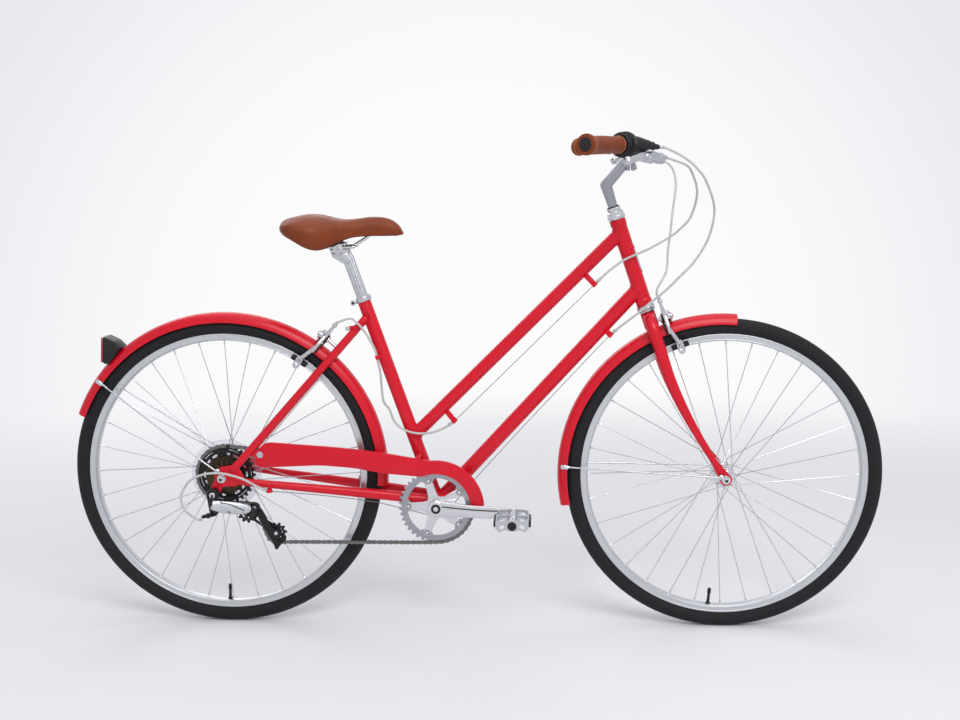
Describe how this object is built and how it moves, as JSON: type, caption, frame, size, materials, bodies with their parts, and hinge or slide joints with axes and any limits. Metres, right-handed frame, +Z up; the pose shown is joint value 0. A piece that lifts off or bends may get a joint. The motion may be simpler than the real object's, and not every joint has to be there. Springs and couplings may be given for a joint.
{
  "type": "city bike",
  "caption": "Low-step city bicycle with swept handlebar, fenders, chain guard, hand brakes and a twist-shifted rear derailleur.",
  "frame": {"origin": "on the ground, midway between the two axles and in the bike's middle plane", "axes": "+X forward, +Y to the rider's left, +Z up; the drive side faces -Y"},
  "size_m": [1.7956, 0.6054, 1.0901],
  "materials": {
    "frame_paint": "satin red paint",
    "tyre": "black rubber with fine tread",
    "rim_alloy": "brushed silver",
    "polished_alloy": "polished",
    "chromed_steel": "bright chrome",
    "chain_steel": "oiled steel",
    "black_plastic": "moulded black",
    "black_rubber": "ribbed black",
    "leather": "brown, stitched",
    "cable_housing": "light grey",
    "red_lens": "red prismatic lens in a black housing"
  },
  "bodies": {
    "frame": {"head_tube": "frame_paint", "headset_upper": "chromed_steel", "top_tube": "frame_paint", "down_tube": "frame_paint", "seat_tube": "frame_paint", "seat_collar": "polished_alloy", "chainstay_right": "frame_paint", "chainstay_left": "frame_paint", "seatstay_right": "frame_paint", "seatstay_left": "frame_paint", "brake_bridge": "frame_paint", "bottom_bracket_unit": "chromed_steel", "rear_axle": "chromed_steel", "rear_fender": "frame_paint", "rear_reflector": "red_lens", "chain_guard": "frame_paint", "chain": "chain_steel", "rear_brake_cable": "cable_housing", "shift_cable": "cable_housing", "derailleur_bracket": "black_plastic"},
    "steering": {"fork_crown": "frame_paint", "fork_blade_right": "frame_paint", "fork_blade_left": "frame_paint", "front_axle": "chromed_steel", "front_fender": "frame_paint", "stem": "polished_alloy", "handlebar": "polished_alloy", "grip_right": "leather", "grip_left": "leather", "shifter_housing": "black_plastic", "brake_bracket_right": "polished_alloy", "brake_bracket_left": "polished_alloy", "front_brake_cable": "cable_housing"},
    "front_wheel": {"front_hub": "polished_alloy", "front_rim": "rim_alloy", "front_tyre": "tyre"},
    "rear_wheel": {"rear_hub": "polished_alloy", "rear_rim": "rim_alloy", "rear_tyre": "tyre"},
    "freewheel": {"freewheel_cogs": "chain_steel"},
    "crankset": {"crank_arm_right": "polished_alloy", "crank_arm_left": "polished_alloy", "chainring": "polished_alloy"},
    "right_pedal": {"pedal_right": "polished_alloy"},
    "left_pedal": {"pedal_left": "polished_alloy"},
    "twist_grip": {"shifter_twist": "black_rubber"},
    "right_lever": {"brake_lever_right": "polished_alloy"},
    "left_lever": {"brake_lever_left": "polished_alloy"},
    "front_right_arm": {"front_brake_arm_right": "polished_alloy"},
    "front_left_arm": {"front_brake_arm_left": "polished_alloy"},
    "rear_right_arm": {"rear_brake_arm_right": "polished_alloy"},
    "rear_left_arm": {"rear_brake_arm_left": "polished_alloy"},
    "changer_link": {"derailleur_link": "polished_alloy"},
    "changer_knuckle": {"derailleur_knuckle": "black_plastic"},
    "changer_cage": {"derailleur_cage": "black_plastic"},
    "guide_wheel": {"guide_pulley": "black_plastic"},
    "tension_wheel": {"tension_pulley": "black_plastic"},
    "seat": {"seatpost": "polished_alloy", "saddle_rails": "chromed_steel", "saddle": "leather"}
  },
  "joints": [
    {"name": "steering_turn", "type": "hinge", "parent": "frame", "child": "steering", "pos_m": [0.3753, 0, 0.722], "axis": [-0.3173, 0, 0.9483], "range_deg": [-60, 60], "deforming": ["rear_brake_cable", "shift_cable"]},
    {"name": "front_wheel_spin", "type": "hinge", "parent": "steering", "child": "front_wheel", "pos_m": [0.55125, 0, 0.3465], "axis": [0, 1, 0], "continuous": true},
    {"name": "rear_wheel_spin", "type": "hinge", "parent": "frame", "child": "rear_wheel", "pos_m": [-0.55125, 0, 0.3465], "axis": [0, 1, 0], "continuous": true},
    {"name": "crank_spin", "type": "hinge", "parent": "frame", "child": "crankset", "pos_m": [-0.08, 0, 0.28], "axis": [0, 1, 0], "continuous": true, "deforming": ["chain"]},
    {"name": "freewheel_spin", "type": "hinge", "parent": "frame", "child": "freewheel", "pos_m": [-0.55125, 0, 0.3465], "axis": [0, 1, 0], "continuous": true, "deforming": ["chain"]},
    {"name": "right_pedal_spin", "type": "hinge", "parent": "crankset", "child": "right_pedal", "pos_m": [0.08991, 0, 0.27436], "axis": [0, 1, 0], "continuous": true},
    {"name": "left_pedal_spin", "type": "hinge", "parent": "crankset", "child": "left_pedal", "pos_m": [-0.24991, 0, 0.28564], "axis": [0, 1, 0], "continuous": true},
    {"name": "twist_shifter_turn", "type": "hinge", "parent": "steering", "child": "twist_grip", "pos_m": [0.237, -0.29, 1.064], "axis": [0.5519, 0.8339, 0], "range_deg": [0, 110], "deforming": ["chain", "shift_cable"]},
    {"name": "right_lever_pull", "type": "hinge", "parent": "steering", "child": "right_lever", "pos_m": [0.36077, -0.16098, 1.045], "axis": [0, 0, -1], "range_deg": [0, 16], "stiffness_Nm_per_rad": 0.8, "springref_deg": -8.59},
    {"name": "left_lever_pull", "type": "hinge", "parent": "steering", "child": "left_lever", "pos_m": [0.36077, 0.16098, 1.045], "axis": [0, 0, 1], "range_deg": [0, 16], "stiffness_Nm_per_rad": 0.8, "springref_deg": -8.59},
    {"name": "front_right_arm_close", "type": "hinge", "parent": "steering", "child": "front_right_arm", "pos_m": [0.41454, 0, 0.69295], "axis": [0.9483, 0, 0.3173], "range_deg": [0, 1.24]},
    {"name": "front_left_arm_close", "type": "hinge", "parent": "steering", "child": "front_left_arm", "pos_m": [0.41454, 0, 0.69295], "axis": [-0.9483, 0, -0.3173], "range_deg": [0, 1.24]},
    {"name": "rear_right_arm_close", "type": "hinge", "parent": "frame", "child": "rear_right_arm", "pos_m": [-0.32302, 0, 0.64828], "axis": [0.7475, 0, -0.6643], "range_deg": [0, 1.24]},
    {"name": "rear_left_arm_close", "type": "hinge", "parent": "frame", "child": "rear_left_arm", "pos_m": [-0.32302, 0, 0.64828], "axis": [-0.7475, 0, 0.6643], "range_deg": [0, 1.24]},
    {"name": "changer_link_swing", "type": "hinge", "parent": "frame", "child": "changer_link", "pos_m": [-0.559, -0.087, 0.287], "axis": [-0.1793, -0.342, -0.9224], "range_deg": [0, 26.5], "deforming": ["chain", "shift_cable"]},
    {"name": "changer_knuckle_swing", "type": "hinge", "parent": "changer_link", "child": "changer_knuckle", "pos_m": [-0.49844, -0.05959, 0.26507], "axis": [-0.1793, -0.342, -0.9224], "range_deg": [-26.5, 0], "deforming": ["chain"]},
    {"name": "changer_cage_swing", "type": "hinge", "parent": "changer_knuckle", "child": "changer_cage", "pos_m": [-0.486, -0.04, 0.274], "axis": [0, 1, 0], "range_deg": [0, 50.5], "deforming": ["chain"]},
    {"name": "guide_wheel_spin", "type": "hinge", "parent": "changer_cage", "child": "guide_wheel", "pos_m": [-0.5055, -0.0285, 0.259], "axis": [0, 1, 0], "continuous": true, "deforming": ["chain"]},
    {"name": "tension_wheel_spin", "type": "hinge", "parent": "changer_cage", "child": "tension_wheel", "pos_m": [-0.4415, -0.0285, 0.2134], "axis": [0, 1, 0], "continuous": true, "deforming": ["chain"]},
    {"name": "seatpost_slide", "type": "slide", "parent": "frame", "child": "seat", "axis": [-0.3305, 0, 0.9438], "range_m": [-0.07, 0.1]}
  ],
  "couplings": [
    {"joint": "freewheel_spin", "follows": "crank_spin", "ratio": 1.25},
    {"joint": "guide_wheel_spin", "follows": "crank_spin", "ratio": -3.6364},
    {"joint": "tension_wheel_spin", "follows": "crank_spin", "ratio": 3.6364},
    {"joint": "front_right_arm_close", "follows": "left_lever_pull", "ratio": 0.075},
    {"joint": "front_left_arm_close", "follows": "left_lever_pull", "ratio": 0.075},
    {"joint": "rear_right_arm_close", "follows": "right_lever_pull", "ratio": 0.075},
    {"joint": "rear_left_arm_close", "follows": "right_lever_pull", "ratio": 0.075},
    {"joint": "changer_link_swing", "follows": "twist_shifter_turn", "ratio": 0.23636},
    {"joint": "changer_knuckle_swing", "follows": "twist_shifter_turn", "ratio": -0.23636},
    {"joint": "changer_cage_swing", "follows": "twist_shifter_turn", "ratio": 0.45454}
  ]
}
